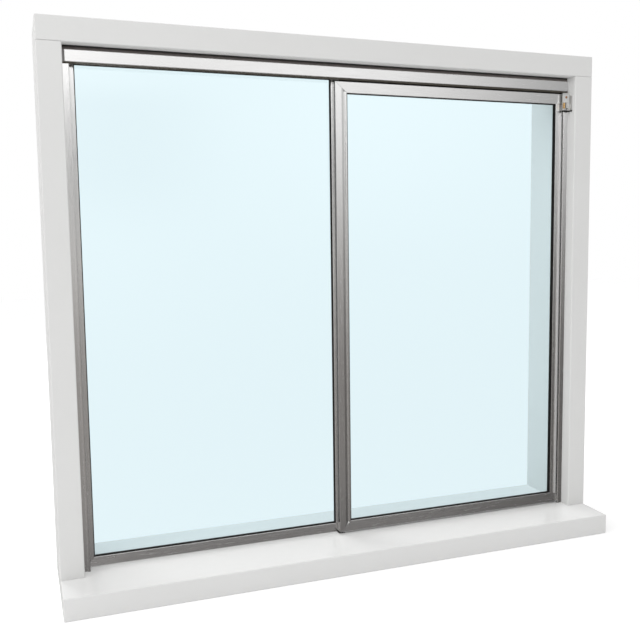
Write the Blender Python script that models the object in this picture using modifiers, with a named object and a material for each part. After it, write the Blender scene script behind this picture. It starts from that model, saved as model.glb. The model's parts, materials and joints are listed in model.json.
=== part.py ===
"""Counter window: a fixed pane and a top-hung sliding sash in a deep white board frame.

Metres, +Z up. The front faces -Y and +X is to the right. Lengths are first laid out in survey
coordinates (x from the frame's left side, y back from the jambs' front, z up from the sill's
top) and moved to the centre of the base when a body is placed.
"""

import math

import bmesh
import bpy
from mathutils import Matrix, Vector

# Overall frame of boards
WIDTH = 1.000
OPENING_HEIGHT = 0.8483
BOARD = 0.0375
HEAD_BOARD = 0.038
BOX_DEPTH = 0.1626
SILL_NOSE = 0.0772
BOARD_EDGE = 0.0016

# Clearance left between pieces that touch, wall of the metal sections and their eased corners
GAP = 0.0003
WALL = 0.0016
EASE = 0.0008

# Metal jamb channels, set back from the boards' front
SETBACK = 0.0248
FLANGE = 0.0107
LIP = 0.0042
LIP_RAISE = 0.0018
FIN = 0.0090
REAR_FLANGE = 0.0120

# Header track, the packer above it, the brush under its front wall and the filler behind it
TRACK_HEIGHT = 0.0186
TRACK_TOP_SPACE = 0.0073
TRACK_LEFT_GAP = 0.0049
ROLLER_SLOT = 0.0062
PACKER_SETBACK = 0.0284
END_BLOCK_SETBACK = 0.0025
BRUSH_DROP = 0.0028
BRUSH_THICK = 0.0026
BRUSH_SETBACK = 0.0009
FILLER_LAP = 0.003

# Fixed pane
FIXED_WIDTH = 0.4592
FIXED_FACE = 0.0162
FIXED_TOP_FACE = 0.0150
FIXED_THICK = 0.0155
PANE_STEP = 0.0187

# Sliding sash
MEETING_OVERLAP = 0.0135
SASH_RIGHT_GAP = 0.0125
RAIL_FACE = 0.0196
MEETING_FACE = 0.0217
CLOSING_FACE = 0.0131
SASH_TOP_GAP = 0.0053
SASH_FLOAT = 0.003
SASH_SETBACK = 0.003
RUNNING_GAP = 0.0008
MITRE_GAP = 0.0002

# Profile of the meeting stile: flat, slope, groove and bead, from its outer edge
FLAT_END = 0.0115
SLOPE_END = 0.0160
GROOVE_END = 0.0183
SLOPE_DROP = 0.0014
GROOVE_DEPTH = 0.0034
BEAD_DROP = 0.0005

# Glazing pocket and its gasket
POCKET = 0.0062
POCKET_FRONT = 0.0058
BACK_STEP = 0.0010
GLASS = 0.005
RUBBER = 0.0009
RUBBER_LIP = 0.0010
RUBBER_SET = 0.0012

# Pull strip on the closing stile
STRIP_WIDTH = 0.0040
STRIP_THICK = 0.0018
STRIP_INSET = 0.0009
STRIP_BOTTOM = 0.018
STRIP_TOP = 0.041

# Roller carriages
CARRIAGE_INSET = 0.074
CARRIAGE_LENGTH = 0.024
CARRIAGE_WIDTH = 0.0084
STEM_LENGTH = 0.016
STEM_THICK = 0.0020
AXLE_RADIUS = 0.0016
WHEEL_RADIUS = 0.0060
WHEEL_WIDTH = 0.0022
WHEEL_SPREAD = 0.0036

# Bottom guide
GUIDE_WIDTH = 0.0112
GUIDE_LEAD = 0.0006
GUIDE_SETBACK = 0.0030
NOTCH = 0.0014
GUIDE_TOES = (0.0034, 0.0072)
GUIDE_FIN = 0.0046
GUIDE_SLOT = 0.0042

# Latch on the right jamb, beside the sash's upper corner
LATCH_TOP_GAP = 0.0041
LATCH_HEIGHT = 0.0327
LATCH_WIDTH = 0.0145
LATCH_BLOCK = 0.0044
LATCH_REACH = 0.0148
LATCH_SLOPE = 28.0
PLATE_WIDTH = 0.0096
PLATE_HEIGHT = 0.0150
PLATE_THICK = 0.0012
PLATE_DROP = 0.0035
RECESS_WIDTH = 0.0062
RECESS_DEPTH = 0.0030
RECESS_HEIGHT = 0.0112
PIN_RADIUS = 0.0018
STOP_RADIUS = 0.0014
BUFFER = 0.0024
KEEPER_WIDTH = 0.0052
KEEPER_HEIGHT = 0.0176
KEEPER_THICK = 0.0012
KEEPER_INSET = 0.0002
KEEPER_DROP = 0.0014

JAMB_INNER = BOARD
HEADER_TOP = OPENING_HEIGHT - TRACK_TOP_SPACE
HEADER_BASE = HEADER_TOP - TRACK_HEIGHT
FIXED_Y = SETBACK + PANE_STEP
FIXED_LEFT = JAMB_INNER + WALL + 2 * GAP
FIXED_RIGHT = FIXED_LEFT + FIXED_WIDTH
SASH_Y = SETBACK + SASH_SETBACK
SASH_THICK = PANE_STEP - SASH_SETBACK - RUNNING_GAP
SASH_LEFT = FIXED_RIGHT - MEETING_OVERLAP
SASH_RIGHT = WIDTH - JAMB_INNER - SASH_RIGHT_GAP
SASH_TOP = HEADER_BASE - SASH_TOP_GAP
POCKET_BACK = POCKET_FRONT + GLASS + 2 * RUBBER + 4 * GAP
OFFSET = Vector((-WIDTH / 2, -(BOX_DEPTH - SILL_NOSE) / 2, BOARD))
X, Y, Z = Vector((1, 0, 0)), Vector((0, 1, 0)), Vector((0, 0, 1))

WHITE_PAINT = ((0.80, 0.80, 0.79), 0.0, 0.35)
ANODISED = ((0.62, 0.62, 0.60), 1.0, 0.32)
BLACK_RUBBER = ((0.015, 0.015, 0.015), 0.0, 0.7)
BLACK_PLASTIC = ((0.02, 0.02, 0.02), 0.0, 0.45)
PALE_PLASTIC = ((0.75, 0.76, 0.75), 0.0, 0.3)
BRASS = ((0.72, 0.52, 0.24), 1.0, 0.3)
STEEL = ((0.55, 0.55, 0.54), 1.0, 0.35)
PANE = ((0.80, 0.92, 0.97), 0.0, 0.05)

for old in list(bpy.data.objects):
    bpy.data.objects.remove(old, do_unlink=True)
PARTS = bpy.data.collections.new("concession_window")
CUTTERS = bpy.data.collections.new("cutters")
bpy.context.scene.collection.children.link(PARTS)
bpy.context.scene.collection.children.link(CUTTERS)
CUTTERS.hide_render = True


def finish(name, mesh, look):
    """Makes the node from a mesh that is already in survey coordinates."""
    mesh.transform(Matrix.Translation(OFFSET))
    mesh.shade_smooth()
    mesh.set_sharp_from_angle(angle=math.radians(30))
    obj = bpy.data.objects.new(name, mesh)
    PARTS.objects.link(obj)
    colour, metallic, roughness = look
    material = bpy.data.materials.new(name)
    material.use_nodes = True
    shader = material.node_tree.nodes["Principled BSDF"]
    shader.inputs["Base Color"].default_value = (*colour, 1.0)
    shader.inputs["Metallic"].default_value = metallic
    shader.inputs["Roughness"].default_value = roughness
    mesh.materials.append(material)
    return obj


def mesh_from(bm, name):
    bmesh.ops.recalc_face_normals(bm, faces=bm.faces)
    mesh = bpy.data.meshes.new(name)
    bm.to_mesh(mesh)
    bm.free()
    return mesh


def box_mesh(name, low, high):
    bm = bmesh.new()
    size = [b - a for a, b in zip(low, high)]
    middle = [(a + b) / 2 for a, b in zip(low, high)]
    place = Matrix.Translation(middle) @ Matrix.Diagonal((*size, 1.0))
    bmesh.ops.create_cube(bm, size=1.0, matrix=place)
    return mesh_from(bm, name)


def round_edges(obj, width, axis=None):
    """Bevels every edge, or only those that run along one axis."""
    bevel = obj.modifiers.new("edges", "BEVEL")
    bevel.width = width
    bevel.segments = 3
    if axis is None:
        bevel.limit_method = "ANGLE"
        return
    bevel.limit_method = "WEIGHT"
    mesh = obj.data
    weight = mesh.attributes.new("bevel_weight_edge", "FLOAT", "EDGE")
    for edge in mesh.edges:
        start, end = (mesh.vertices[index].co for index in edge.vertices)
        weight.data[edge.index].value = 1.0 if abs((end - start).normalized()[axis]) > 0.9 else 0.0


def box(name, low, high, look, edge=0.0, axis=None):
    obj = finish(name, box_mesh(name, low, high), look)
    if edge:
        round_edges(obj, edge, axis)
    return obj


def cylinder_mesh(name, centre, radius, length, axis, sides=20):
    bm = bmesh.new()
    turn = Z.rotation_difference(axis).to_matrix().to_4x4()
    bmesh.ops.create_cone(
        bm,
        cap_ends=True,
        segments=sides,
        radius1=radius,
        radius2=radius,
        depth=length,
        matrix=Matrix.Translation(centre) @ turn,
    )
    return mesh_from(bm, name)


def helper(name, mesh):
    """An object of the cutter collection, in the same place as the nodes."""
    mesh.transform(Matrix.Translation(OFFSET))
    obj = bpy.data.objects.new(name, mesh)
    obj.display_type = "WIRE"
    obj.hide_render = True
    CUTTERS.objects.link(obj)
    return obj


def combine(obj, name, mesh, operation):
    change = obj.modifiers.new(name, "BOOLEAN")
    change.operation = operation
    change.solver = "EXACT"
    change.object = helper(name, mesh)


def eased(outline):
    """Rounds each corner that carries a third number, the length it takes off both sides."""
    points = []
    for index, corner in enumerate(outline):
        point = Vector(corner[:2])
        if len(corner) == 2:
            points.append(point)
            continue
        before = Vector(outline[index - 1][:2]) - point
        after = Vector(outline[(index + 1) % len(outline)][:2]) - point
        start = point + before.normalized() * corner[2]
        end = point + after.normalized() * corner[2]
        for t in (0, 1 / 3, 2 / 3, 1):
            points.append(start * (1 - t) ** 2 + point * 2 * t * (1 - t) + end * t**2)
    return points


def section_mesh(name, loops, length):
    """Extrudes closed outlines (u, v) along w from 0 to length, as a filled curve made a mesh."""
    curve = bpy.data.curves.new(name, "CURVE")
    curve.dimensions = "2D"
    curve.fill_mode = "BOTH"
    curve.extrude = length / 2
    for loop in loops:
        spline = curve.splines.new("POLY")
        spline.points.add(len(loop) - 1)
        for point, (u, v) in zip(spline.points, loop):
            point.co = (u, v, 0.0, 1.0)
        spline.use_cyclic_u = True
    holder = bpy.data.objects.new(name, curve)
    bpy.context.scene.collection.objects.link(holder)
    graph = bpy.context.evaluated_depsgraph_get()
    mesh = bpy.data.meshes.new_from_object(holder.evaluated_get(graph))
    bpy.data.objects.remove(holder, do_unlink=True)
    bpy.data.curves.remove(curve)
    bm = bmesh.new()
    bm.from_mesh(mesh)
    bmesh.ops.remove_doubles(bm, verts=bm.verts, dist=1e-6)
    bmesh.ops.translate(bm, verts=bm.verts, vec=(0, 0, length / 2))
    bm.to_mesh(mesh)
    bm.free()
    return mesh


def cut_off(bm, point, normal):
    """Removes what lies beyond the plane and closes the cut."""
    geometry = bm.verts[:] + bm.edges[:] + bm.faces[:]
    bmesh.ops.bisect_plane(bm, geom=geometry, plane_co=point, plane_no=normal, clear_outer=True)
    rim = [edge for edge in bm.edges if edge.is_boundary]
    bmesh.ops.triangle_fill(bm, edges=rim, use_beauty=True)


def bar(name, loops, start, length, axes, look, mitres=None):
    """A length of section: u, v and w run along the three axes from start.

    mitres gives, for both ends, how far the cut moves along w for each unit of u.
    """
    mesh = section_mesh(name, [eased(loop) for loop in loops], length)
    bm = bmesh.new()
    bm.from_mesh(mesh)
    if mitres is not None:
        cut_off(bm, (0, 0, MITRE_GAP), (mitres[0], 0, -1))
        cut_off(bm, (0, 0, length - MITRE_GAP), (mitres[1], 0, 1))
    turn = Matrix(axes).transposed().to_4x4()
    bmesh.ops.transform(bm, matrix=Matrix.Translation(start) @ turn, verts=bm.verts)
    bmesh.ops.recalc_face_normals(bm, faces=bm.faces)
    bm.to_mesh(mesh)
    bm.free()
    return finish(name, mesh, look)


def ring(name, loop, low, high, look):
    """Sweeps an outline (u inward, y back) round a rectangle given by its low and high (x, z)."""
    reach = max(u for u, _ in loop) + 0.01
    bm = bmesh.new()
    points = [bm.verts.new((u - reach, y, u - reach)) for u, y in loop]
    edges = [bm.edges.new((a, b)) for a, b in zip(points, points[1:] + points[:1])]
    bmesh.ops.spin(
        bm,
        geom=points + edges,
        cent=(0, 0, 0),
        axis=(0, 1, 0),
        angle=math.tau,
        steps=4,
        use_merge=True,
    )
    bmesh.ops.remove_doubles(bm, verts=bm.verts, dist=1e-6)
    half = [(b - a) / 2 - reach for a, b in zip(low, high)]
    middle = [(a + b) / 2 for a, b in zip(low, high)]
    for vert in bm.verts:
        vert.co.x += math.copysign(half[0], vert.co.x) + middle[0]
        vert.co.z += math.copysign(half[1], vert.co.z) + middle[1]
    return finish(name, mesh_from(bm, name), look)


def framed(prefix, bars, low, high, y, look):
    """Four mitred bars round a rectangle; bars gives each side's outlines and face width."""
    width, height = high[0] - low[0], high[1] - low[1]
    corner = (low[0], y, low[1])
    left, right, bottom, top = (bars[side][1] for side in ("left", "right", "bottom", "top"))
    places = {
        "left": ("_stile_left", corner, height, (X, Y, Z), (bottom / left, top / left)),
        "right": (
            "_stile_right",
            (high[0], y, low[1]),
            height,
            (-X, Y, Z),
            (bottom / right, top / right),
        ),
        "bottom": ("_rail_bottom", corner, width, (Z, Y, X), (left / bottom, right / bottom)),
        "top": ("_rail_top", (low[0], y, high[1]), width, (-Z, Y, X), (left / top, right / top)),
    }
    for side, (suffix, start, length, axes, mitres) in places.items():
        bar(prefix + suffix, bars[side][0], start, length, axes, look, mitres)


def rear_of_section(face, thick):
    """Outline points from the face's inner edge round the pocket to the back."""
    floor = face - POCKET
    return [
        (face, POCKET_FRONT),
        (floor, POCKET_FRONT),
        (floor, POCKET_BACK),
        (face - BACK_STEP, POCKET_BACK),
        (face - BACK_STEP, thick, EASE / 2),
    ]


def void_of_section(end, thick):
    return [(WALL, WALL), (end, WALL), (end, thick - WALL), (WALL, thick - WALL)]


def flat_section(face, thick, edge_loop):
    """A flat-faced bar; edge_loop is what its outer edge has, from back to front."""
    return [(face, 0, EASE)] + rear_of_section(face, thick) + edge_loop


def glazing(prefix, low, high, face, y):
    """Glass and its wrap-round gasket in the pockets of bars of this face width."""
    glass_near = (POCKET_FRONT + POCKET_BACK - GLASS) / 2
    glass_far = glass_near + GLASS
    base = face - POCKET + GAP
    seat = base + RUBBER
    edge = seat + GAP
    box(
        prefix + "_glass",
        (low[0] + edge, y + glass_near, low[1] + edge),
        (high[0] - edge, y + glass_far, high[1] - edge),
        PANE,
    )
    lip = face + GAP + RUBBER_LIP
    outline = [
        (base, POCKET_FRONT + GAP),
        (face + GAP, POCKET_FRONT + GAP),
        (face + GAP, RUBBER_SET),
        (lip, RUBBER_SET + EASE),
        (lip, glass_near - GAP),
        (seat, glass_near - GAP),
        (seat, glass_far + GAP),
        (face - BACK_STEP + RUBBER, glass_far + GAP),
        (face - BACK_STEP + RUBBER, POCKET_BACK - GAP),
        (base, POCKET_BACK - GAP),
    ]
    ring(prefix + "_gasket", [(u, y + v) for u, v in outline], low, high, BLACK_RUBBER)


# Board frame: the head laps over the jambs, which stand on the sill
box("casing_sill", (0, -SILL_NOSE, -BOARD), (WIDTH, BOX_DEPTH, 0), WHITE_PAINT, BOARD_EDGE)
box(
    "casing_head",
    (0, 0, OPENING_HEIGHT),
    (WIDTH, BOX_DEPTH, OPENING_HEIGHT + HEAD_BOARD),
    WHITE_PAINT,
    BOARD_EDGE,
)
for side, left in (("left", 0), ("right", WIDTH - JAMB_INNER)):
    box(
        "casing_jamb_" + side,
        (left, 0, GAP),
        (left + JAMB_INNER, BOX_DEPTH, OPENING_HEIGHT - GAP),
        WHITE_PAINT,
        BOARD_EDGE,
        axis=2,
    )

# Jamb channels: flange with a raised lip, web, front fin and rear flange of the pane's pocket
pocket_front = PANE_STEP - GAP
pocket_back = pocket_front + 2 * GAP + FIXED_THICK
channel = [
    (GAP, 0),
    (FLANGE - LIP, 0),
    (FLANGE - LIP, -LIP_RAISE, LIP_RAISE * 0.6),
    (FLANGE, -LIP_RAISE, LIP_RAISE * 0.6),
    (FLANGE, WALL * 1.6),
    (FLANGE - WALL, WALL * 1.6),
    (FLANGE - WALL, WALL),
    (WALL + GAP, WALL),
    (WALL + GAP, pocket_front - WALL),
    (FIN, pocket_front - WALL),
    (FIN, pocket_front),
    (WALL + GAP, pocket_front),
    (WALL + GAP, pocket_back),
    (REAR_FLANGE, pocket_back),
    (REAR_FLANGE, pocket_back + WALL, EASE),
    (GAP, pocket_back + WALL),
]
brush_base = HEADER_BASE - GAP - BRUSH_DROP
channel_length = brush_base - 2 * GAP
for side, place, inward in (("left", JAMB_INNER, X), ("right", WIDTH - JAMB_INNER, -X)):
    bar(
        "jamb_channel_" + side,
        [channel],
        (place, SETBACK, GAP),
        channel_length,
        (inward, Y, Z),
        ANODISED,
    )

# Header track: slotted roller channel in front, pocket for the fixed pane's top rail behind
roller_back = pocket_front - WALL * 0.8
roller_middle = (WALL + roller_back) / 2
slot_near = roller_middle - ROLLER_SLOT / 2
slot_far = roller_middle + ROLLER_SLOT / 2
ceiling = TRACK_HEIGHT - WALL
track = [
    (0, 0, EASE),
    (slot_near, 0),
    (slot_near, WALL),
    (WALL, WALL),
    (WALL, ceiling),
    (roller_back, ceiling),
    (roller_back, WALL),
    (slot_far, WALL),
    (slot_far, 0),
    (pocket_front, 0),
    (pocket_front, ceiling),
    (pocket_back, ceiling),
    (pocket_back, 0),
    (pocket_back + WALL, 0),
    (pocket_back + WALL, TRACK_HEIGHT, EASE),
    (0, TRACK_HEIGHT, EASE),
]
track_left = JAMB_INNER + TRACK_LEFT_GAP
reveal_left = JAMB_INNER + GAP
reveal_right = WIDTH - JAMB_INNER - GAP
bar(
    "header_track",
    [track],
    (track_left, SETBACK, HEADER_BASE),
    reveal_right - track_left,
    (Y, Z, X),
    ANODISED,
)
box(
    "header_packer",
    (reveal_left, PACKER_SETBACK, HEADER_TOP + GAP),
    (reveal_right, SETBACK + pocket_back + WALL, OPENING_HEIGHT - GAP),
    BLACK_PLASTIC,
)
box(
    "header_end_block",
    (reveal_left, SETBACK + END_BLOCK_SETBACK, HEADER_BASE),
    (track_left - GAP, FIXED_Y - GAP, HEADER_TOP),
    ANODISED,
)
brush_y = SETBACK + BRUSH_SETBACK
box(
    "header_brush",
    (reveal_left, brush_y, brush_base),
    (reveal_right, brush_y + BRUSH_THICK, HEADER_BASE - GAP),
    BLACK_RUBBER,
)
box(
    "header_filler",
    (FIXED_RIGHT + GAP, FIXED_Y, SASH_TOP - FILLER_LAP),
    (WIDTH - FIXED_LEFT, FIXED_Y + FIXED_THICK, HEADER_TOP - WALL - GAP),
    BLACK_PLASTIC,
)

# Fixed pane: three equal bars and a lower one in the header track
fixed_low = (FIXED_LEFT, GAP)
fixed_high = (FIXED_RIGHT, HEADER_TOP - WALL - GAP)
fixed_edge = [(0, FIXED_THICK), (0, 0, EASE)]
fixed_faces = dict.fromkeys(("left", "right", "bottom"), FIXED_FACE)
fixed_faces["top"] = FIXED_TOP_FACE
fixed_bars = {}
for side, face in fixed_faces.items():
    outline = flat_section(face, FIXED_THICK, fixed_edge)
    void = void_of_section(face - POCKET - WALL, FIXED_THICK)
    fixed_bars[side] = ([outline, void], face)
framed("fixed", fixed_bars, fixed_low, fixed_high, FIXED_Y, ANODISED)
glazing(
    "fixed",
    fixed_low,
    (FIXED_RIGHT, fixed_high[1] + FIXED_FACE - FIXED_TOP_FACE),
    FIXED_FACE,
    FIXED_Y,
)

# Sliding sash: flat rails, a profiled meeting stile on the left, a narrow closing stile on the right
sash_low = (SASH_LEFT, SASH_FLOAT)
sash_high = (SASH_RIGHT, SASH_TOP)
slot_middle = SASH_THICK / 2
slot_low = slot_middle - GUIDE_SLOT / 2
slot_high = slot_middle + GUIDE_SLOT / 2
slot_floor = RAIL_FACE - POCKET - 2 * WALL
sash_edge = [(0, SASH_THICK, EASE / 2), (0, 0, EASE)]
guide_slot = [(0, slot_high), (slot_floor, slot_high), (slot_floor, slot_low), (0, slot_low)]
rail_outline = flat_section(RAIL_FACE, SASH_THICK, sash_edge)
slotted_outline = flat_section(RAIL_FACE, SASH_THICK, sash_edge[:1] + guide_slot + sash_edge[1:])
closing_outline = flat_section(CLOSING_FACE, SASH_THICK, sash_edge)
meeting_outline = [
    (FLAT_END, 0),
    (SLOPE_END, SLOPE_DROP),
    (SLOPE_END, GROOVE_DEPTH),
    (GROOVE_END, GROOVE_DEPTH),
    (GROOVE_END, BEAD_DROP, EASE),
    (MEETING_FACE, BEAD_DROP, EASE),
]
meeting_outline += rear_of_section(MEETING_FACE, SASH_THICK) + sash_edge
sash_bars = {
    "left": ([meeting_outline, void_of_section(FLAT_END - WALL, SASH_THICK)], MEETING_FACE),
    "right": (
        [closing_outline, void_of_section(CLOSING_FACE - POCKET - WALL, SASH_THICK)],
        CLOSING_FACE,
    ),
    "bottom": ([slotted_outline], RAIL_FACE),
    "top": ([rail_outline, void_of_section(RAIL_FACE - POCKET - WALL, SASH_THICK)], RAIL_FACE),
}
framed("sash", sash_bars, sash_low, sash_high, SASH_Y, ANODISED)
glazing(
    "sash",
    (SASH_LEFT + MEETING_FACE - RAIL_FACE, SASH_FLOAT),
    (SASH_RIGHT + RAIL_FACE - CLOSING_FACE, SASH_TOP),
    RAIL_FACE,
    SASH_Y,
)

# Pull strip on the closing stile
strip_right = SASH_RIGHT - STRIP_INSET
box(
    "sash_pull_strip",
    (strip_right - STRIP_WIDTH, SASH_Y - GAP - STRIP_THICK, SASH_FLOAT + STRIP_BOTTOM),
    (strip_right, SASH_Y - GAP, SASH_TOP - STRIP_TOP),
    ANODISED,
    EASE / 2,
)

# Roller carriages: foot plate, stem and two wheels on one axle
rail_y = SETBACK + roller_middle
axle_z = HEADER_BASE + WALL + GAP + WHEEL_RADIUS
foot = SASH_TOP + GAP
half_width = CARRIAGE_WIDTH / 2
for side, x in (("left", SASH_LEFT + CARRIAGE_INSET), ("right", SASH_RIGHT - CARRIAGE_INSET)):
    name = "carriage_" + side
    carriage = box(
        name,
        (x - CARRIAGE_LENGTH / 2, rail_y - half_width, foot),
        (x + CARRIAGE_LENGTH / 2, rail_y + half_width, foot + WALL),
        STEEL,
    )
    stem = box_mesh(
        name + "_stem",
        (x - STEM_LENGTH / 2, rail_y - STEM_THICK / 2, foot + WALL / 2),
        (x + STEM_LENGTH / 2, rail_y + STEM_THICK / 2, axle_z + 2 * AXLE_RADIUS),
    )
    combine(carriage, name + "_stem", stem, "UNION")
    axle_length = 2 * WHEEL_SPREAD - WHEEL_WIDTH / 2
    axle = cylinder_mesh(name + "_axle", (x, rail_y, axle_z), AXLE_RADIUS, axle_length, Y, 12)
    combine(carriage, name + "_axle", axle, "UNION")
    for tag, shift in (("_near", -WHEEL_SPREAD), ("_far", WHEEL_SPREAD)):
        centre = (x, rail_y + shift, axle_z)
        wheel = cylinder_mesh(name + tag, centre, WHEEL_RADIUS, WHEEL_WIDTH, Y, 24)
        combine(carriage, name + tag, wheel, "UNION")

# Bottom guide: notched base on the sill and a fin in the bottom rail's slot
guide_left = SASH_LEFT - GUIDE_LEAD
guide_right = guide_left + GUIDE_WIDTH
guide_top = SASH_FLOAT - 2 * GAP
guide = box(
    "sash_guide",
    (guide_left, SASH_Y + GUIDE_SETBACK, GAP),
    (guide_right, FIXED_Y - GAP, guide_top),
    BLACK_PLASTIC,
)
fin = box_mesh(
    "guide_fin",
    (guide_right - GUIDE_FIN, SASH_Y + slot_low + 2 * GAP, guide_top - EASE),
    (guide_right - GAP, SASH_Y + slot_high - 2 * GAP, SASH_FLOAT + GUIDE_FIN),
)
combine(guide, "guide_fin", fin, "UNION")
for index, toe in enumerate(GUIDE_TOES):
    notch = box_mesh(
        f"guide_notch_{index}",
        (guide_left + toe, SASH_Y, -GAP),
        (guide_left + toe + NOTCH, SASH_Y + GUIDE_SETBACK + 2 * NOTCH, SASH_FLOAT),
    )
    combine(guide, f"guide_notch_{index}", notch, "DIFFERENCE")

# Latch body: a block in front of the right channel and a leg on the jamb's inner side
latch_top = HEADER_BASE - LATCH_TOP_GAP
latch_base = latch_top - LATCH_HEIGHT
block_back = SETBACK - LIP_RAISE - GAP
block_front = block_back - LATCH_BLOCK
leg_front = SETBACK - LATCH_REACH
block_left = reveal_right - LATCH_WIDTH
latch_outline = [
    (reveal_right - WALL, leg_front),
    (reveal_right, leg_front),
    (reveal_right, block_back),
    (block_left, block_back),
    (block_left, block_front, EASE),
    (reveal_right - WALL, block_front),
]
latch_body = bar(
    "latch_body",
    [latch_outline],
    (0, 0, latch_base),
    LATCH_HEIGHT,
    (X, Y, Z),
    ANODISED,
)
recess_floor = latch_top - PLATE_DROP - PLATE_HEIGHT - RECESS_HEIGHT
recess = box_mesh(
    "latch_recess",
    (block_left - WALL, block_front - WALL, recess_floor),
    (block_left + RECESS_WIDTH, block_front + RECESS_DEPTH, recess_floor + RECESS_HEIGHT),
)
combine(latch_body, "latch_recess", recess, "DIFFERENCE")
leg_depth = block_front - leg_front
slope = box_mesh(
    "latch_slope",
    (-2 * WALL, -2 * leg_depth, 0),
    (GAP, 0, leg_depth),
)
slope.transform(Matrix.Rotation(math.radians(LATCH_SLOPE), 4, "X"))
slope.transform(Matrix.Translation((reveal_right, block_front - GAP, latch_top)))
combine(latch_body, "latch_slope", slope, "DIFFERENCE")
bar(
    "latch_buffer",
    [[(u, v) for u, v, *_ in latch_outline]],
    (0, 0, latch_base - GAP - BUFFER),
    BUFFER,
    (X, Y, Z),
    BLACK_RUBBER,
)

# Latch plate with a round top, brass pin in the recess, and a small stop
round_radius = PLATE_WIDTH / 2
shoulder = PLATE_HEIGHT - round_radius
arc = [math.pi * step / 12 for step in range(13)]
plate_outline = [(-round_radius, 0), (round_radius, 0)]
plate_outline += [(round_radius * math.cos(a), shoulder + round_radius * math.sin(a)) for a in arc]
plate_base = latch_top - PLATE_DROP - PLATE_HEIGHT
bar(
    "latch_plate",
    [plate_outline],
    (block_left + EASE + round_radius, block_front - GAP - PLATE_THICK, plate_base),
    PLATE_THICK,
    (X, Z, Y),
    PALE_PLASTIC,
)
pin_length = RECESS_HEIGHT - 2 * GAP
pin_y = block_front + RECESS_DEPTH - GAP - PIN_RADIUS
pin_middle = (block_left + EASE + PIN_RADIUS, pin_y, recess_floor + RECESS_HEIGHT / 2)
pin = cylinder_mesh("latch_pin", pin_middle, PIN_RADIUS, pin_length, Z)
finish("latch_pin", pin, BRASS)
stop_middle = (
    block_left + RECESS_WIDTH + STOP_RADIUS + GAP,
    block_front - GAP - PLATE_THICK / 2,
    latch_base + 2 * STOP_RADIUS,
)
stop = cylinder_mesh("latch_stop", stop_middle, STOP_RADIUS, PLATE_THICK, Y, 16)
finish("latch_stop", stop, BLACK_PLASTIC)

# Keeper plate on the closing stile
keeper_right = SASH_RIGHT - KEEPER_INSET
keeper_top = SASH_TOP - KEEPER_DROP
box(
    "latch_keeper",
    (keeper_right - KEEPER_WIDTH, SASH_Y - GAP - KEEPER_THICK, keeper_top - KEEPER_HEIGHT),
    (keeper_right, SASH_Y - GAP, keeper_top),
    STEEL,
    GAP,
)
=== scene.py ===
"""Looks of the counter window: painted boards, brushed metal, glass, rubber and small fasteners.

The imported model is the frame: metres, +Z up, the front faces -Y and +X is to the right. Every
solid keeps its place and shape and gets its finish here.
"""

import json
import math
import random

import bmesh
import bpy
from mathutils import Matrix, Vector


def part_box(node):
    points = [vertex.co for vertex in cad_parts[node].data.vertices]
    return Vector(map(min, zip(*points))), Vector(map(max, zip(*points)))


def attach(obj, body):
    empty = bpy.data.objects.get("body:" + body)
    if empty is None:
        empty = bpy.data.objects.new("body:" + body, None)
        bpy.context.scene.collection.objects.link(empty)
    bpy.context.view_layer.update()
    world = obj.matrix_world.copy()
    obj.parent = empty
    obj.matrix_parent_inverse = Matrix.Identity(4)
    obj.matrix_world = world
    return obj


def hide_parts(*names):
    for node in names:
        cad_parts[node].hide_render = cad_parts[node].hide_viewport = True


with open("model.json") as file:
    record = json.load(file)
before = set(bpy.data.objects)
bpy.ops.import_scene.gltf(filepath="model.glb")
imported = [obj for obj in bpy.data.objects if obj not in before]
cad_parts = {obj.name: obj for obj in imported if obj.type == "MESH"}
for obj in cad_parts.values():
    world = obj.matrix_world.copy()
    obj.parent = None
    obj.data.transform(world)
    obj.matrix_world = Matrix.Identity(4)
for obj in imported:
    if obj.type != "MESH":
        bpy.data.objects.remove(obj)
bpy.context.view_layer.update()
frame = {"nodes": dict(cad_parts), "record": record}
nodes = frame["nodes"]

# Camera of the photograph
CAMERA_PLACE = (-0.5415, -1.5443, 0.6168)
CAMERA_TURN = (83.556, 0.1935, -22.993)
CAMERA_LENS = 50.855
CAMERA_SHIFT = -0.125

# Share of red, green and blue light that passes a pane: for what is seen, and for light and mirrors
GLASS_TINT = (0.812, 0.957, 1.0)
GLASS_CLEAR = (0.985, 0.990, 0.990)

# Soft light of the world: its mean strength and the change with a direction's x, y and z
SOFT_MEAN = 0.67
SOFT_SLOPE_X = -0.20
SOFT_SLOPE_Y = -0.18
SOFT_SLOPE_Z = 0.10

# What gloss mirrors in front and behind, from below to above: a direction's z and the colour
GLOW_STEPS = (
    (-0.80, (0.400, 0.400, 0.400)),
    (-0.55, (0.030, 0.030, 0.030)),
    (-0.37, (0.030, 0.030, 0.031)),
    (-0.325, (0.255, 0.246, 0.240)),
    (-0.24, (0.220, 0.208, 0.198)),
    (-0.15, (0.205, 0.194, 0.186)),
    (-0.04, (0.430, 0.420, 0.410)),
    (0.07, (1.000, 1.000, 1.000)),
    (0.14, (1.160, 1.160, 1.160)),
    (0.34, (1.300, 1.300, 1.300)),
    (0.60, (0.220, 0.220, 0.220)),
)
REAR_STEPS = (
    (-0.42, (0.700, 0.700, 0.695)),
    (-0.04, (0.800, 0.800, 0.795)),
    (0.24, (1.000, 1.000, 1.000)),
)

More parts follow.
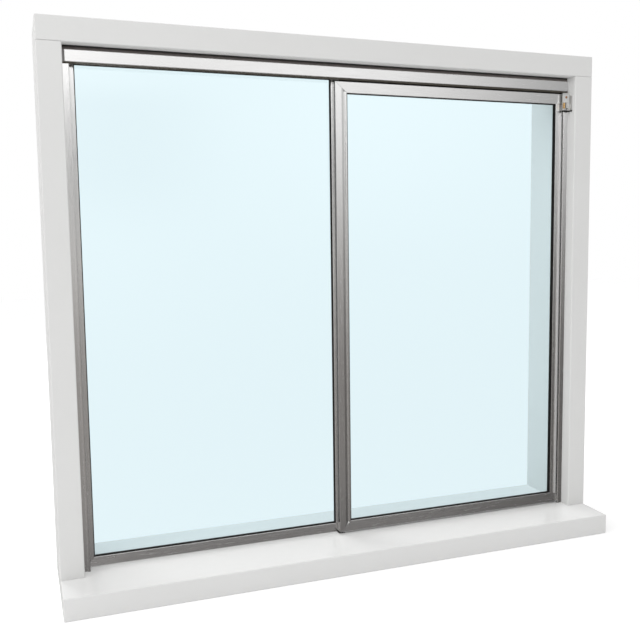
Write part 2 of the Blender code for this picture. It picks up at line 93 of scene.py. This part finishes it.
# Smooth changes of that glow: from and to of a direction's x, y or z, and the values there
REAR_BY_Y = (-0.1, 0.3, 0.0, 1.0)
REAR_LEVEL_BY_X = (-0.28, -0.12, 0.15, 1.0)
FRONT_LEVEL_BY_X = (0.35, 0.60, 1.0, 0.30)
RIGHT_RISE_BY_X = (0.64, 0.80, 0.0, 0.32)
LEFT_RISE_BY_X = (0.02, 0.20, 0.55, 0.0)
DIM_PATCH_BY_X = (0.08, 0.24, 1.15, 0.0)
DIM_PATCH_LOW_BY_Z = (-0.05, 0.05, 0.0, 1.0)
DIM_PATCH_HIGH_BY_Z = (0.112, 0.15, 1.0, 0.0)

# Soft lamps: name, place and power in watts
LAMPS = (
    ("lamp_left", (-1.3, -0.75, 1.7), 8.0),
    ("lamp_behind", (-0.9, 2.1, 2.0), 37.0),
)
LAMP_AIM = (0.0, 0.0, 0.45)
LAMP_SIZE = 1.6

# Floor: half its width, its grey and the light added where the camera sees it
FLOOR_REACH = 6.0
FLOOR_GREY = 0.92
FLOOR_LIFT = 0.32

# Noise values between which a surface goes from its first roughness to its second
MOTTLE = (0.3, 0.7)

# Brushed metal: how little its streaks change along their length, and their share of the shade
STREAK_STRETCH = 0.02
STREAK_SHARE = 0.7
CLOUD_SHARE = 0.3

# Widest turn between two faces that still shades as one curve, in degrees
SMOOTH_ANGLE = 35

# Slotted screws: radius, rise and turn (in radians) of each kind, and the form of the head
PLATE_SCREW_RADIUS = 0.0023
PLATE_SCREW_RISE = 0.0008
PLATE_SCREW_TURN = 1.2
KEEPER_SCREW_RADIUS = 0.0011
KEEPER_SCREW_RISE = 0.0005
KEEPER_SCREW_TURN = 0.4
KEEPER_SCREW_HEIGHTS = (0.86, 0.55, 0.18)
SCREW_RINGS = 5
SCREW_SIDES = 24
SCREW_TIP_SHARE = 0.04
SLOT_HALF_SHARE = 0.16
SLOT_DEPTH = 0.0004

# Bristles of the header's brush
TUFT_PITCH = 0.0008
TUFT_WIDTH = 0.0007
TUFT_WIDTH_SHARES = (0.5, 0.95)
TUFT_HALF_DEPTH = 0.00025
TUFT_ROWS = (0.2, 0.5, 0.8)
TUFT_SHORTER = 0.0005
TUFT_LEAN = 0.0002
TUFT_TIP = 0.001
TUFT_ROOT_SHARE = 0.9
BRUSH_BACKING = 0.0009
BRUSH_SEED = 7


class Graph:
    """Short names for making and joining the nodes of one material or world."""

    def __init__(self, tree):
        self.tree = tree
        tree.nodes.clear()

    def add(self, kind, **settings):
        node = self.tree.nodes.new(kind)
        for key, value in settings.items():
            setattr(node, key, value)
        return node

    def join(self, source, target):
        self.tree.links.new(source, target)

    def math(self, operation, first, second):
        node = self.add("ShaderNodeMath", operation=operation)
        for socket, value in zip(node.inputs, (first, second)):
            if isinstance(value, (int, float)):
                socket.default_value = value
            else:
                self.join(value, socket)
        return node.outputs[0]

    def ramp(self, value, low, high, start, end):
        """A smooth change from start to end while value goes from low to high."""
        node = self.add("ShaderNodeMapRange", interpolation_type="SMOOTHSTEP")
        self.join(value, node.inputs["Value"])
        node.inputs["From Min"].default_value = low
        node.inputs["From Max"].default_value = high
        node.inputs["To Min"].default_value = start
        node.inputs["To Max"].default_value = end
        return node.outputs["Result"]

    def stops(self, value, rows):
        """A colour that runs through rows of (value, colour)."""
        low = rows[0][0]
        high = rows[-1][0]
        share = self.add("ShaderNodeMapRange")
        self.join(value, share.inputs["Value"])
        share.inputs["From Min"].default_value = low
        share.inputs["From Max"].default_value = high
        node = self.add("ShaderNodeValToRGB")
        self.join(share.outputs["Result"], node.inputs["Fac"])
        marks = node.color_ramp.elements
        while len(marks) < len(rows):
            marks.new(0.5)
        for mark, (at, colour) in zip(marks, rows):
            mark.position = (at - low) / (high - low)
            mark.color = (*colour, 1.0)
        return node.outputs["Color"]

    def place(self, stretch):
        """The surface point in the object's own metres, stretched along the axes."""
        where = self.add("ShaderNodeTexCoord")
        mapping = self.add("ShaderNodeMapping")
        mapping.inputs["Scale"].default_value = stretch
        self.join(where.outputs["Object"], mapping.inputs["Vector"])
        return mapping.outputs["Vector"]

    def noise(self, scale, detail=3.0, stretch=(1, 1, 1)):
        node = self.add("ShaderNodeTexNoise")
        node.inputs["Scale"].default_value = scale
        node.inputs["Detail"].default_value = detail
        self.join(self.place(stretch), node.inputs["Vector"])
        return node.outputs["Fac"]

    def tint(self, value, dark, light):
        """A colour between dark and light as value goes from 0 to 1."""
        node = self.add("ShaderNodeMix", data_type="RGBA")
        node.inputs["A"].default_value = (*dark, 1.0)
        node.inputs["B"].default_value = (*light, 1.0)
        self.join(value, node.inputs["Factor"])
        return node.outputs["Result"]

    def bump(self, height, distance, strength):
        node = self.add("ShaderNodeBump")
        node.inputs["Distance"].default_value = distance
        node.inputs["Strength"].default_value = strength
        self.join(height, node.inputs["Height"])
        return node.outputs["Normal"]


def mirrored(graph, path):
    """1 for a ray that has met a glossy surface and no dull one since it left the camera."""
    glossy = graph.math("GREATER_THAN", path.outputs["Glossy Depth"], 0.5)
    clean = graph.math("LESS_THAN", path.outputs["Diffuse Depth"], 0.5)
    return graph.math("MULTIPLY", glossy, clean)


def straight(graph, path):
    """1 for what the camera sees directly or through glass."""
    through = graph.math("LESS_THAN", path.outputs["Glossy Depth"], 0.5)
    through = graph.math("MULTIPLY", through, path.outputs["Is Transmission Ray"])
    return graph.math("MAXIMUM", through, path.outputs["Is Camera Ray"])


def principled(name, **values):
    """A material with one shader; values are its uniform settings."""
    material = bpy.data.materials.new(name)
    material.use_nodes = True
    graph = Graph(material.node_tree)
    output = graph.add("ShaderNodeOutputMaterial")
    shader = graph.add("ShaderNodeBsdfPrincipled")
    graph.join(shader.outputs["BSDF"], output.inputs["Surface"])
    for key, value in values.items():
        shader.inputs[key.replace("_", " ")].default_value = value
    return material, graph, shader


def mottled(name, scale, detail, dark, light, roughness, relief=None, **values):
    """A surface whose colour, roughness and relief (its depth and strength) follow one noise."""
    material, graph, shader = principled(name, **values)
    grain = graph.noise(scale, detail)
    graph.join(graph.tint(grain, dark, light), shader.inputs["Base Color"])
    graph.join(graph.ramp(grain, *MOTTLE, *roughness), shader.inputs["Roughness"])
    if relief is not None:
        graph.join(graph.bump(grain, *relief), shader.inputs["Normal"])
    return material


def paint(name, dark, light, sheen, roughness):
    """White paint: faint roller texture and a slightly uneven sheen."""
    material, graph, shader = principled(name, Specular_IOR_Level=sheen)
    cloud = graph.noise(scale=9.0, detail=4.0)
    patches = graph.noise(scale=60.0)
    roller = graph.noise(scale=900.0, detail=2.0)
    graph.join(graph.tint(cloud, dark, light), shader.inputs["Base Color"])
    graph.join(graph.ramp(patches, *MOTTLE, *roughness), shader.inputs["Roughness"])
    graph.join(graph.bump(roller, distance=0.00003, strength=0.5), shader.inputs["Normal"])
    return material


def board_paint():
    """Satin white of the frame's head and jambs."""
    return paint(
        "satin_paint",
        dark=(0.745, 0.745, 0.735),
        light=(0.775, 0.775, 0.767),
        sheen=0.12,
        roughness=(0.45, 0.55),
    )


def sill_paint():
    """Glossier white of the sill; its colour is a little lighter than the boards' white, painted light
    standing in for the extra light its front gets from below.
    """
    return paint(
        "gloss_paint",
        # Painted light: these whites are lighter than the boards' to brighten the sill
        dark=(0.795, 0.795, 0.787),
        light=(0.825, 0.825, 0.818),
        sheen=0.50,
        roughness=(0.20, 0.27),
    )


def anodised(name, axis):
    """Satin anodised metal, brushed along the given axis."""
    material, graph, shader = principled(name, Metallic=1.0, Anisotropic=0.65)
    stretch = [1.0 if letter != axis else STREAK_STRETCH for letter in "XYZ"]
    streaks = graph.noise(scale=1500.0, detail=3.0, stretch=stretch)
    cloud = graph.noise(scale=14.0, detail=3.0)
    fine = graph.math("MULTIPLY", streaks, STREAK_SHARE)
    coarse = graph.math("MULTIPLY", cloud, CLOUD_SHARE)
    shade = graph.math("ADD", fine, coarse)
    colour = graph.tint(shade, dark=(0.80, 0.795, 0.79), light=(0.96, 0.96, 0.955))
    roughness = graph.ramp(streaks, low=0.2, high=0.8, start=0.20, end=0.28)
    tangent = graph.add("ShaderNodeTangent", direction_type="RADIAL", axis=axis)
    graph.join(colour, shader.inputs["Base Color"])
    graph.join(roughness, shader.inputs["Roughness"])
    graph.join(tangent.outputs["Tangent"], shader.inputs["Tangent"])
    graph.join(graph.bump(streaks, distance=0.00002, strength=0.3), shader.inputs["Normal"])
    return material


def plated_steel():
    return mottled(
        "plated_steel",
        scale=300.0,
        detail=4.0,
        dark=(0.42, 0.42, 0.41),
        light=(0.62, 0.62, 0.60),
        roughness=(0.28, 0.42),
        Metallic=1.0,
    )


def dark_steel():
    """Black zinc plating of the roller carriages."""
    return mottled(
        "dark_steel",
        scale=300.0,
        detail=4.0,
        dark=(0.05, 0.05, 0.05),
        light=(0.09, 0.09, 0.085),
        roughness=(0.35, 0.50),
        Metallic=1.0,
    )


def painted_highlight_strip():
    """Strip along the closing stile, made pale and less metallic than the frame's metal as a painted
    highlight.
    """
    return mottled(
        "painted_highlight_strip",
        scale=300.0,
        detail=3.0,
        # Painted highlight: pale colour and low metallic brighten the strip like the highlight on its
        # tilted face
        dark=(0.84, 0.84, 0.835),
        light=(0.93, 0.93, 0.925),
        roughness=(0.28, 0.40),
        Metallic=0.65,
    )


def satin_metal():
    """Fine-grained metal of the latch, without a brushing direction."""
    return mottled(
        "satin_metal",
        scale=1800.0,
        detail=2.0,
        dark=(0.66, 0.66, 0.65),
        light=(0.80, 0.80, 0.79),
        roughness=(0.34, 0.44),
        Metallic=1.0,
    )


def shaded_end_cap():
    """Track's end block, its metal coloured dark grey as painted shade for the gap beside the header's
    end.
    """
    return mottled(
        "shaded_end_cap",
        scale=400.0,
        detail=4.0,
        # Painted shade: dark grey in place of the aluminium's own pale tone
        dark=(0.16, 0.155, 0.15),
        light=(0.30, 0.295, 0.29),
        roughness=(0.40, 0.55),
        Metallic=1.0,
    )


def brass():
    return mottled(
        "brass",
        scale=700.0,
        detail=3.0,
        dark=(0.55, 0.33, 0.13),
        light=(0.80, 0.55, 0.27),
        roughness=(0.24, 0.38),
        Metallic=1.0,
    )


def bronze():
    return mottled(
        "bronze",
        scale=900.0,
        detail=3.0,
        dark=(0.42, 0.19, 0.09),
        light=(0.62, 0.34, 0.19),
        roughness=(0.30, 0.42),
        Metallic=1.0,
    )


def pale_plastic():
    return mottled(
        "pale_plastic",
        scale=160.0,
        detail=3.0,
        dark=(0.60, 0.605, 0.595),
        light=(0.68, 0.685, 0.675),
        roughness=(0.22, 0.34),
        Specular_IOR_Level=0.5,
    )


def black_plastic():
    return mottled(
        "black_plastic",
        scale=900.0,
        detail=2.0,
        dark=(0.010, 0.009, 0.008),
        light=(0.026, 0.023, 0.020),
        roughness=(0.40, 0.55),
        relief=(0.00004, 0.4),
        Specular_IOR_Level=0.4,
    )


def black_rubber():
    return mottled(
        "black_rubber",
        scale=250.0,
        detail=4.0,
        dark=(0.005, 0.005, 0.005),
        light=(0.014, 0.013, 0.012),
        roughness=(0.55, 0.75),
        relief=(0.00005, 0.5),
        Specular_IOR_Level=0.2,
    )


def fibre(name, dark, light):
    """Soft dull fibre or foam."""
    return mottled(
        name,
        scale=700.0,
        detail=4.0,
        dark=dark,
        light=light,
        roughness=(0.75, 0.95),
        relief=(0.0001, 0.5),
        Specular_IOR_Level=0.2,
    )


def packer_foam():
    """Foam in the gap under the head, coloured with painted shade: black along its top edge and brownish
    grey along its bottom edge.
    """
    material, graph, shader = principled("packer", Specular_IOR_Level=0.2)
    low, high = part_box("header_packer")
    where = graph.add("ShaderNodeTexCoord")
    split = graph.add("ShaderNodeSeparateXYZ")
    graph.join(where.outputs["Object"], split.inputs["Vector"])
    origin = nodes["header_packer"].matrix_world.translation.z
    # Painted shade: the colour darkens towards the top edge, where the head shades the gap
    painted_shade_by_height = graph.ramp(split.outputs["Z"], low.z - origin, high.z - origin, start=1.0, end=0.0)
    grain = graph.ramp(graph.noise(scale=500.0, detail=4.0), low=0.2, high=0.8, start=0.8, end=1.0)
    shade_and_grain = graph.math("MULTIPLY", painted_shade_by_height, grain)
    colour = graph.tint(shade_and_grain, dark=(0.010, 0.008, 0.007), light=(0.200, 0.180, 0.170))
    roughness = graph.ramp(shade_and_grain, low=0.0, high=1.0, start=0.75, end=0.90)
    graph.join(colour, shader.inputs["Base Color"])
    graph.join(roughness, shader.inputs["Roughness"])
    return material


def clear_glass():
    """Float glass with a pale blue tint, which lets light and mirrored rays pass."""
    material, graph, shader = principled(
        "glass",
        Transmission_Weight=1.0,
        IOR=1.46,
        Base_Color=(*GLASS_TINT, 1.0),
    )
    roughness = graph.ramp(graph.noise(scale=3.0), *MOTTLE, start=0.0, end=0.004)
    graph.join(roughness, shader.inputs["Roughness"])
    path = graph.add("ShaderNodeLightPath")
    passing = graph.add("ShaderNodeBsdfTransparent")
    passing.inputs["Color"].default_value = (*GLASS_CLEAR, 1.0)
    lit = graph.math("MAXIMUM", path.outputs["Is Shadow Ray"], path.outputs["Is Diffuse Ray"])
    both = graph.add("ShaderNodeMixShader")
    graph.join(graph.math("MAXIMUM", lit, mirrored(graph, path)), both.inputs["Fac"])
    graph.join(shader.outputs["BSDF"], both.inputs[1])
    graph.join(passing.outputs["BSDF"], both.inputs[2])
    output = next(node for node in graph.tree.nodes if node.type == "OUTPUT_MATERIAL")
    graph.join(both.outputs["Shader"], output.inputs["Surface"])
    return material


def finishes():
    """Gives every node of the frame its material: by its own name, by its slot, or brushed metal."""
    metal_x = anodised("anodised_along_x", "X")
    metal_z = anodised("anodised_along_z", "Z")
    carriages = dark_steel()
    made = {
        "painted_board": board_paint(),
        "casing_sill": sill_paint(),
        "latch_body": satin_metal(),
        "sash_pull_strip": painted_highlight_strip(),
        "carriage_left": carriages,
        "carriage_right": carriages,
        "plated_steel": plated_steel(),
        "black_rubber": black_rubber(),
        "black_plastic": black_plastic(),
        "pale_plastic": pale_plastic(),
        "brass": brass(),
        "glass": clear_glass(),
        "header_packer": packer_foam(),
        "header_end_block": shaded_end_cap(),
        "header_filler": fibre("filler", (0.050, 0.044, 0.040), (0.090, 0.080, 0.072)),
        "header_brush": fibre("bristle", (0.065, 0.058, 0.048), (0.135, 0.122, 0.100)),
    }
    for row in frame["record"]["subparts"]:
        node = nodes[row["node"]]
        material = made.get(row["node"], made.get(row["material_slot"]))
        if material is None:
            low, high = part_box(row["node"])
            material = metal_x if high.x - low.x > high.z - low.z else metal_z
        for slot in node.material_slots:
            slot.material = material
    return made


def piece(name, bm, material):
    """A new piece of the object made from a mesh in world metres."""
    bmesh.ops.recalc_face_normals(bm, faces=bm.faces)
    mesh = bpy.data.meshes.new(name)
    bm.to_mesh(mesh)
    bm.free()
    mesh.shade_smooth()
    mesh.set_sharp_from_angle(angle=math.radians(SMOOTH_ANGLE))
    obj = bpy.data.objects.new(name, mesh)
    bpy.context.scene.collection.objects.link(obj)
    mesh.materials.append(material)
    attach(obj, "root")
    return obj


def add_box(bm, low, high):
    size = [b - a for a, b in zip(low, high)]
    middle = [(a + b) / 2 for a, b in zip(low, high)]
    place = Matrix.Translation(middle) @ Matrix.Diagonal((*size, 1.0))
    return bmesh.ops.create_cube(bm, size=1.0, matrix=place)["verts"]


def slotted_screw(name, centre, radius, rise, turn, material):
    """A domed screw head facing the front, with one straight slot across it."""
    bm = bmesh.new()
    half_slot = radius * SLOT_HALF_SHARE
    profile = []
    for step in range(SCREW_RINGS + 1):
        angle = math.pi / 2 * step / SCREW_RINGS
        profile.append((radius * math.cos(angle), rise * math.sin(angle)))
    profile[-1] = (radius * SCREW_TIP_SHARE, rise)
    rows = []
    for reach, height in profile:
        row = []
        for side in range(SCREW_SIDES):
            angle = math.tau * side / SCREW_SIDES
            x, z = reach * math.cos(angle), reach * math.sin(angle)
            inside = abs(x * math.sin(turn) - z * math.cos(turn)) < half_slot
            depth = min(height, SLOT_DEPTH) if inside else 0.0
            row.append(bm.verts.new((x, depth - height, z)))
        rows.append(row)
    for low_row, high_row in zip(rows, rows[1:]):
        for side in range(SCREW_SIDES):
            after = (side + 1) % SCREW_SIDES
            bm.faces.new((low_row[side], low_row[after], high_row[after], high_row[side]))
    bm.faces.new(rows[-1])
    bm.faces.new(rows[0])
    bmesh.ops.translate(bm, verts=bm.verts, vec=centre)
    return piece(name, bm, material)


def latch_screws(made):
    """The plate's slotted screw at the centre of its round end and three in the keeper."""
    low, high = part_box("latch_plate")
    round_radius = (high.x - low.x) / 2
    centre = Vector((low.x + round_radius, low.y, high.z - round_radius))
    slotted_screw(
        "plate_screw",
        centre,
        PLATE_SCREW_RADIUS,
        PLATE_SCREW_RISE,
        PLATE_SCREW_TURN,
        bronze(),
    )
    low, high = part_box("latch_keeper")
    middle = (low.x + high.x) / 2
    for index, share in enumerate(KEEPER_SCREW_HEIGHTS):
        centre = Vector((middle, low.y, low.z + (high.z - low.z) * share))
        slotted_screw(
            f"keeper_screw_{index + 1}",
            centre,
            KEEPER_SCREW_RADIUS,
            KEEPER_SCREW_RISE,
            KEEPER_SCREW_TURN + index,
            made["plated_steel"],
        )


def brush_strip(made):
    """The header's brush: a backing strip and rows of bristle tufts below it."""
    draw = random.Random(BRUSH_SEED)
    low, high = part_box("header_brush")
    bm = bmesh.new()
    add_box(bm, (low.x, low.y, high.z - BRUSH_BACKING), high)
    tuft_top = high.z - BRUSH_BACKING * TUFT_ROOT_SHARE
    for index in range(int((high.x - low.x) / TUFT_PITCH)):
        x = low.x + (index + 0.5) * TUFT_PITCH
        for share in TUFT_ROWS:
            y = low.y + (high.y - low.y) * share
            half = TUFT_WIDTH / 2 * draw.uniform(*TUFT_WIDTH_SHARES)
            tuft_base = low.z + draw.uniform(0.0, TUFT_SHORTER)
            lean = draw.uniform(-TUFT_LEAN, TUFT_LEAN)
            verts = add_box(
                bm,
                (x - half, y - TUFT_HALF_DEPTH, tuft_base),
                (x + half, y + TUFT_HALF_DEPTH, tuft_top),
            )
            for vert in verts:
                if vert.co.z < low.z + TUFT_TIP:
                    vert.co.x = min(max(vert.co.x + lean, low.x), high.x)
    brush = piece("header_bristles", bm, made["header_brush"])
    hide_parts("header_brush")


def glow_background(graph, x, y, z):
    """The graded field that gloss mirrors: bright and dim bands in front, an even one behind."""
    glow = graph.add("ShaderNodeBackground")
    behind = graph.ramp(y, *REAR_BY_Y)
    colour = graph.add("ShaderNodeMix", data_type="RGBA")
    graph.join(behind, colour.inputs["Factor"])
    graph.join(graph.stops(z, GLOW_STEPS), colour.inputs["A"])
    graph.join(graph.stops(z, REAR_STEPS), colour.inputs["B"])
    graph.join(colour.outputs["Result"], glow.inputs["Color"])
    right = graph.math("ADD", graph.ramp(x, *FRONT_LEVEL_BY_X), graph.ramp(x, *RIGHT_RISE_BY_X))
    level = graph.math("ADD", right, graph.ramp(x, *LEFT_RISE_BY_X))
    dim = graph.math("MULTIPLY", graph.ramp(x, *DIM_PATCH_BY_X), graph.ramp(z, *DIM_PATCH_LOW_BY_Z))
    dim = graph.math("MULTIPLY", dim, graph.ramp(z, *DIM_PATCH_HIGH_BY_Z))
    strength = graph.add("ShaderNodeMix")
    graph.join(behind, strength.inputs["Factor"])
    graph.join(graph.math("SUBTRACT", level, dim), strength.inputs["A"])
    graph.join(graph.ramp(x, *REAR_LEVEL_BY_X), strength.inputs["B"])
    graph.join(strength.outputs["Result"], glow.inputs["Strength"])
    return glow


def studio_world():
    """White for the camera and through glass, soft light for surfaces, a graded glow for gloss."""
    world = bpy.data.worlds.new("studio")
    bpy.context.scene.world = world
    world.use_nodes = True
    graph = Graph(world.node_tree)
    output = graph.add("ShaderNodeOutputWorld")
    where = graph.add("ShaderNodeTexCoord")
    split = graph.add("ShaderNodeSeparateXYZ")
    graph.join(where.outputs["Generated"], split.inputs["Vector"])
    x, y, z = (split.outputs[axis] for axis in "XYZ")
    path = graph.add("ShaderNodeLightPath")

    plain = graph.add("ShaderNodeBackground")
    plain.inputs["Color"].default_value = (1, 1, 1, 1)

    soft = graph.add("ShaderNodeBackground")
    soft.inputs["Color"].default_value = (1, 1, 1, 1)
    across = graph.math("MULTIPLY", x, SOFT_SLOPE_X)
    level = graph.math("ADD", across, graph.math("MULTIPLY", y, SOFT_SLOPE_Y))
    level = graph.math("ADD", level, graph.math("MULTIPLY", z, SOFT_SLOPE_Z))
    graph.join(graph.math("ADD", level, SOFT_MEAN), soft.inputs["Strength"])

    glow = glow_background(graph, x, y, z)
    for_gloss = graph.add("ShaderNodeMixShader")
    graph.join(mirrored(graph, path), for_gloss.inputs["Fac"])
    graph.join(soft.outputs["Background"], for_gloss.inputs[1])
    graph.join(glow.outputs["Background"], for_gloss.inputs[2])
    for_camera = graph.add("ShaderNodeMixShader")
    graph.join(straight(graph, path), for_camera.inputs["Fac"])
    graph.join(for_gloss.outputs["Shader"], for_camera.inputs[1])
    graph.join(plain.outputs["Background"], for_camera.inputs[2])
    graph.join(for_camera.outputs["Shader"], output.inputs["Surface"])


def studio_lamps():
    """Large soft lamps, one at the upper left in front and one behind the window."""
    for name, place, power in LAMPS:
        data = bpy.data.lights.new(name, "AREA")
        data.size = LAMP_SIZE
        data.energy = power
        lamp = bpy.data.objects.new(name, data)
        lamp.location = place
        aim = Vector(LAMP_AIM) - Vector(place)
        lamp.rotation_euler = aim.to_track_quat("-Z", "Y").to_euler()
        lamp.visible_glossy = False
        bpy.context.scene.collection.objects.link(lamp)


def floor_finish():
    """Pale and shadowed for the camera, white through glass and absent for mirrored rays."""
    material = bpy.data.materials.new("floor")
    material.use_nodes = True
    graph = Graph(material.node_tree)
    output = graph.add("ShaderNodeOutputMaterial")
    diffuse = graph.add("ShaderNodeBsdfDiffuse")
    diffuse.inputs["Color"].default_value = (FLOOR_GREY, FLOOR_GREY, FLOOR_GREY, 1)
    lift = graph.add("ShaderNodeEmission")
    path = graph.add("ShaderNodeLightPath")
    graph.join(graph.math("MULTIPLY", path.outputs["Is Camera Ray"], FLOOR_LIFT), lift.inputs["Strength"])
    lit = graph.add("ShaderNodeAddShader")
    graph.join(diffuse.outputs["BSDF"], lit.inputs[0])
    graph.join(lift.outputs["Emission"], lit.inputs[1])
    plain = graph.add("ShaderNodeEmission")
    through = graph.math("SUBTRACT", straight(graph, path), path.outputs["Is Camera Ray"])
    seen = graph.add("ShaderNodeMixShader")
    graph.join(through, seen.inputs["Fac"])
    graph.join(lit.outputs["Shader"], seen.inputs[1])
    graph.join(plain.outputs["Emission"], seen.inputs[2])
    absent = graph.add("ShaderNodeBsdfTransparent")
    whole = graph.add("ShaderNodeMixShader")
    graph.join(mirrored(graph, path), whole.inputs["Fac"])
    graph.join(seen.outputs["Shader"], whole.inputs[1])
    graph.join(absent.outputs["BSDF"], whole.inputs[2])
    graph.join(whole.outputs["Shader"], output.inputs["Surface"])
    return material


def studio_floor():
    """A plain floor under the window."""
    bm = bmesh.new()
    bmesh.ops.create_grid(bm, x_segments=1, y_segments=1, size=FLOOR_REACH)
    mesh = bpy.data.meshes.new("floor")
    bm.to_mesh(mesh)
    bm.free()
    floor = bpy.data.objects.new("floor", mesh)
    bpy.context.scene.collection.objects.link(floor)
    mesh.materials.append(floor_finish())


def photo_camera():
    data = bpy.data.cameras.new("camera")
    data.lens = CAMERA_LENS
    data.shift_x = CAMERA_SHIFT
    camera = bpy.data.objects.new("camera", data)
    camera.location = CAMERA_PLACE
    camera.rotation_euler = [math.radians(angle) for angle in CAMERA_TURN]
    bpy.context.scene.collection.objects.link(camera)
    bpy.context.scene.camera = camera


def main():
    made = finishes()
    latch_screws(made)
    brush_strip(made)
    # In the photograph the metal mirrors a darker room than boards so near would give
    for name in ("casing_head", "casing_sill", "casing_jamb_left", "casing_jamb_right"):
        nodes[name].visible_glossy = False
    studio_world()
    studio_lamps()
    studio_floor()
    photo_camera()
    bpy.context.scene.view_settings.view_transform = "Standard"


main()
